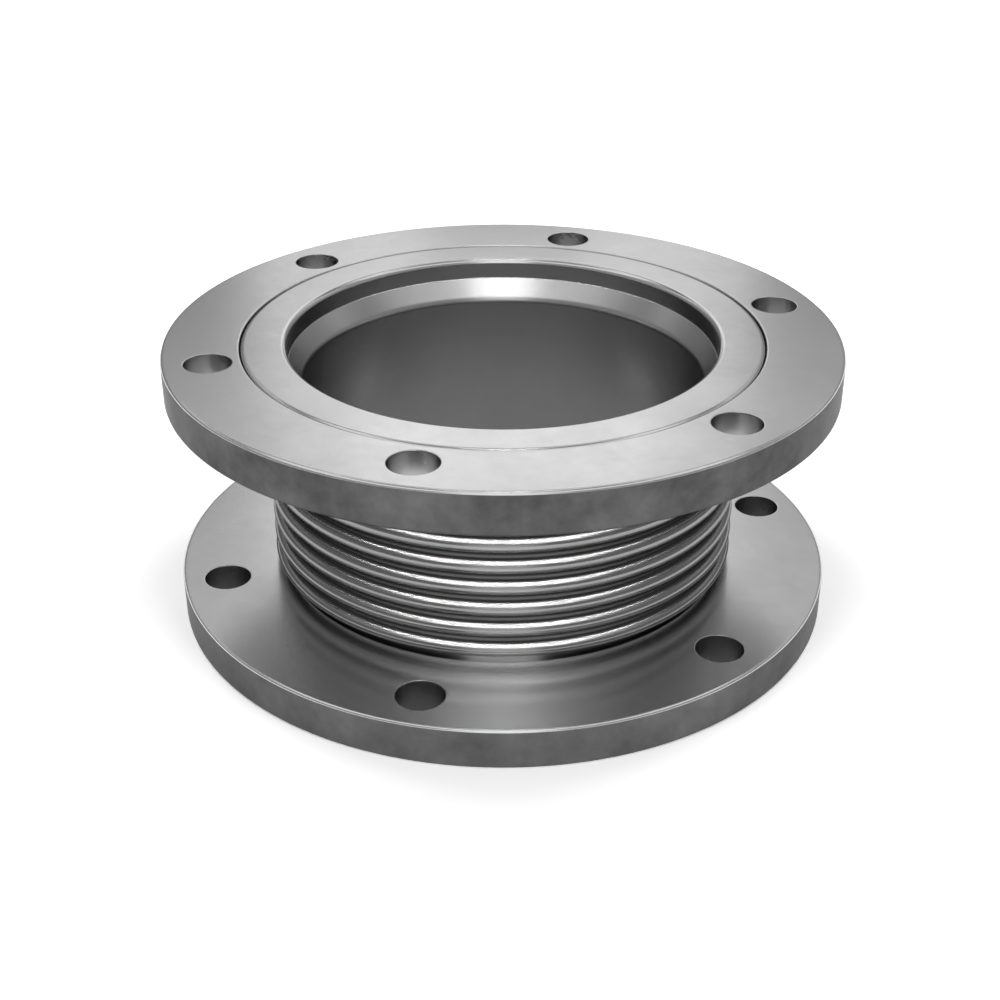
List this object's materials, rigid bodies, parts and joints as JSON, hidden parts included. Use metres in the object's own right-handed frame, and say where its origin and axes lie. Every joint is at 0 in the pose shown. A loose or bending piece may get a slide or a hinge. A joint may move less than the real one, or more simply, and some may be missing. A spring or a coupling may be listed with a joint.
{
  "type": "exhaust bellows",
  "caption": "Flanged exhaust bellows: a thin convoluted steel tube round an inner flow liner, between loose bolt-on plate flanges, that takes up heat growth and engine movement.",
  "frame": {"origin": "centre of the lower gasket face, on the gas axis, which is the middle of the object's base", "axes": "+Z along the gas axis from the lower gasket face to the upper one, where the liner's inlet is, and +X through the first bolt hole of both flanges"},
  "size_m": [0.32, 0.32, 0.1335],
  "materials": {
    "flange_steel": "satin turned steel plate",
    "collar_steel": "satin turned steel",
    "bellows_steel": "bright formed stainless sheet",
    "liner_steel": "bright rolled stainless sheet",
    "weld_steel": "smooth seam bead"
  },
  "bodies": {
    "lower_end": {"lower_collar": "collar_steel", "bellows": "bellows_steel", "lower_cuff_weld": "weld_steel"},
    "upper_end": {"upper_collar": "collar_steel", "flow_liner": "liner_steel", "upper_cuff_weld": "weld_steel", "liner_weld": "weld_steel"},
    "lower_ring": {"lower_flange": "flange_steel"},
    "upper_ring": {"upper_flange": "flange_steel"}
  },
  "joints": [
    {"name": "axial_travel", "type": "slide", "parent": "lower_end", "child": "upper_end", "axis": [0, 0, 1], "range_m": [-0.02, 0.01], "stiffness_N_per_m": 150000, "deforming": ["bellows"]},
    {"name": "lower_flange_turn", "type": "hinge", "parent": "lower_end", "child": "lower_ring", "pos_m": [0, 0, 0], "axis": [0, 0, 1], "continuous": true},
    {"name": "upper_flange_turn", "type": "hinge", "parent": "upper_end", "child": "upper_ring", "pos_m": [0, 0, 0.1335], "axis": [0, 0, 1], "continuous": true}
  ]
}
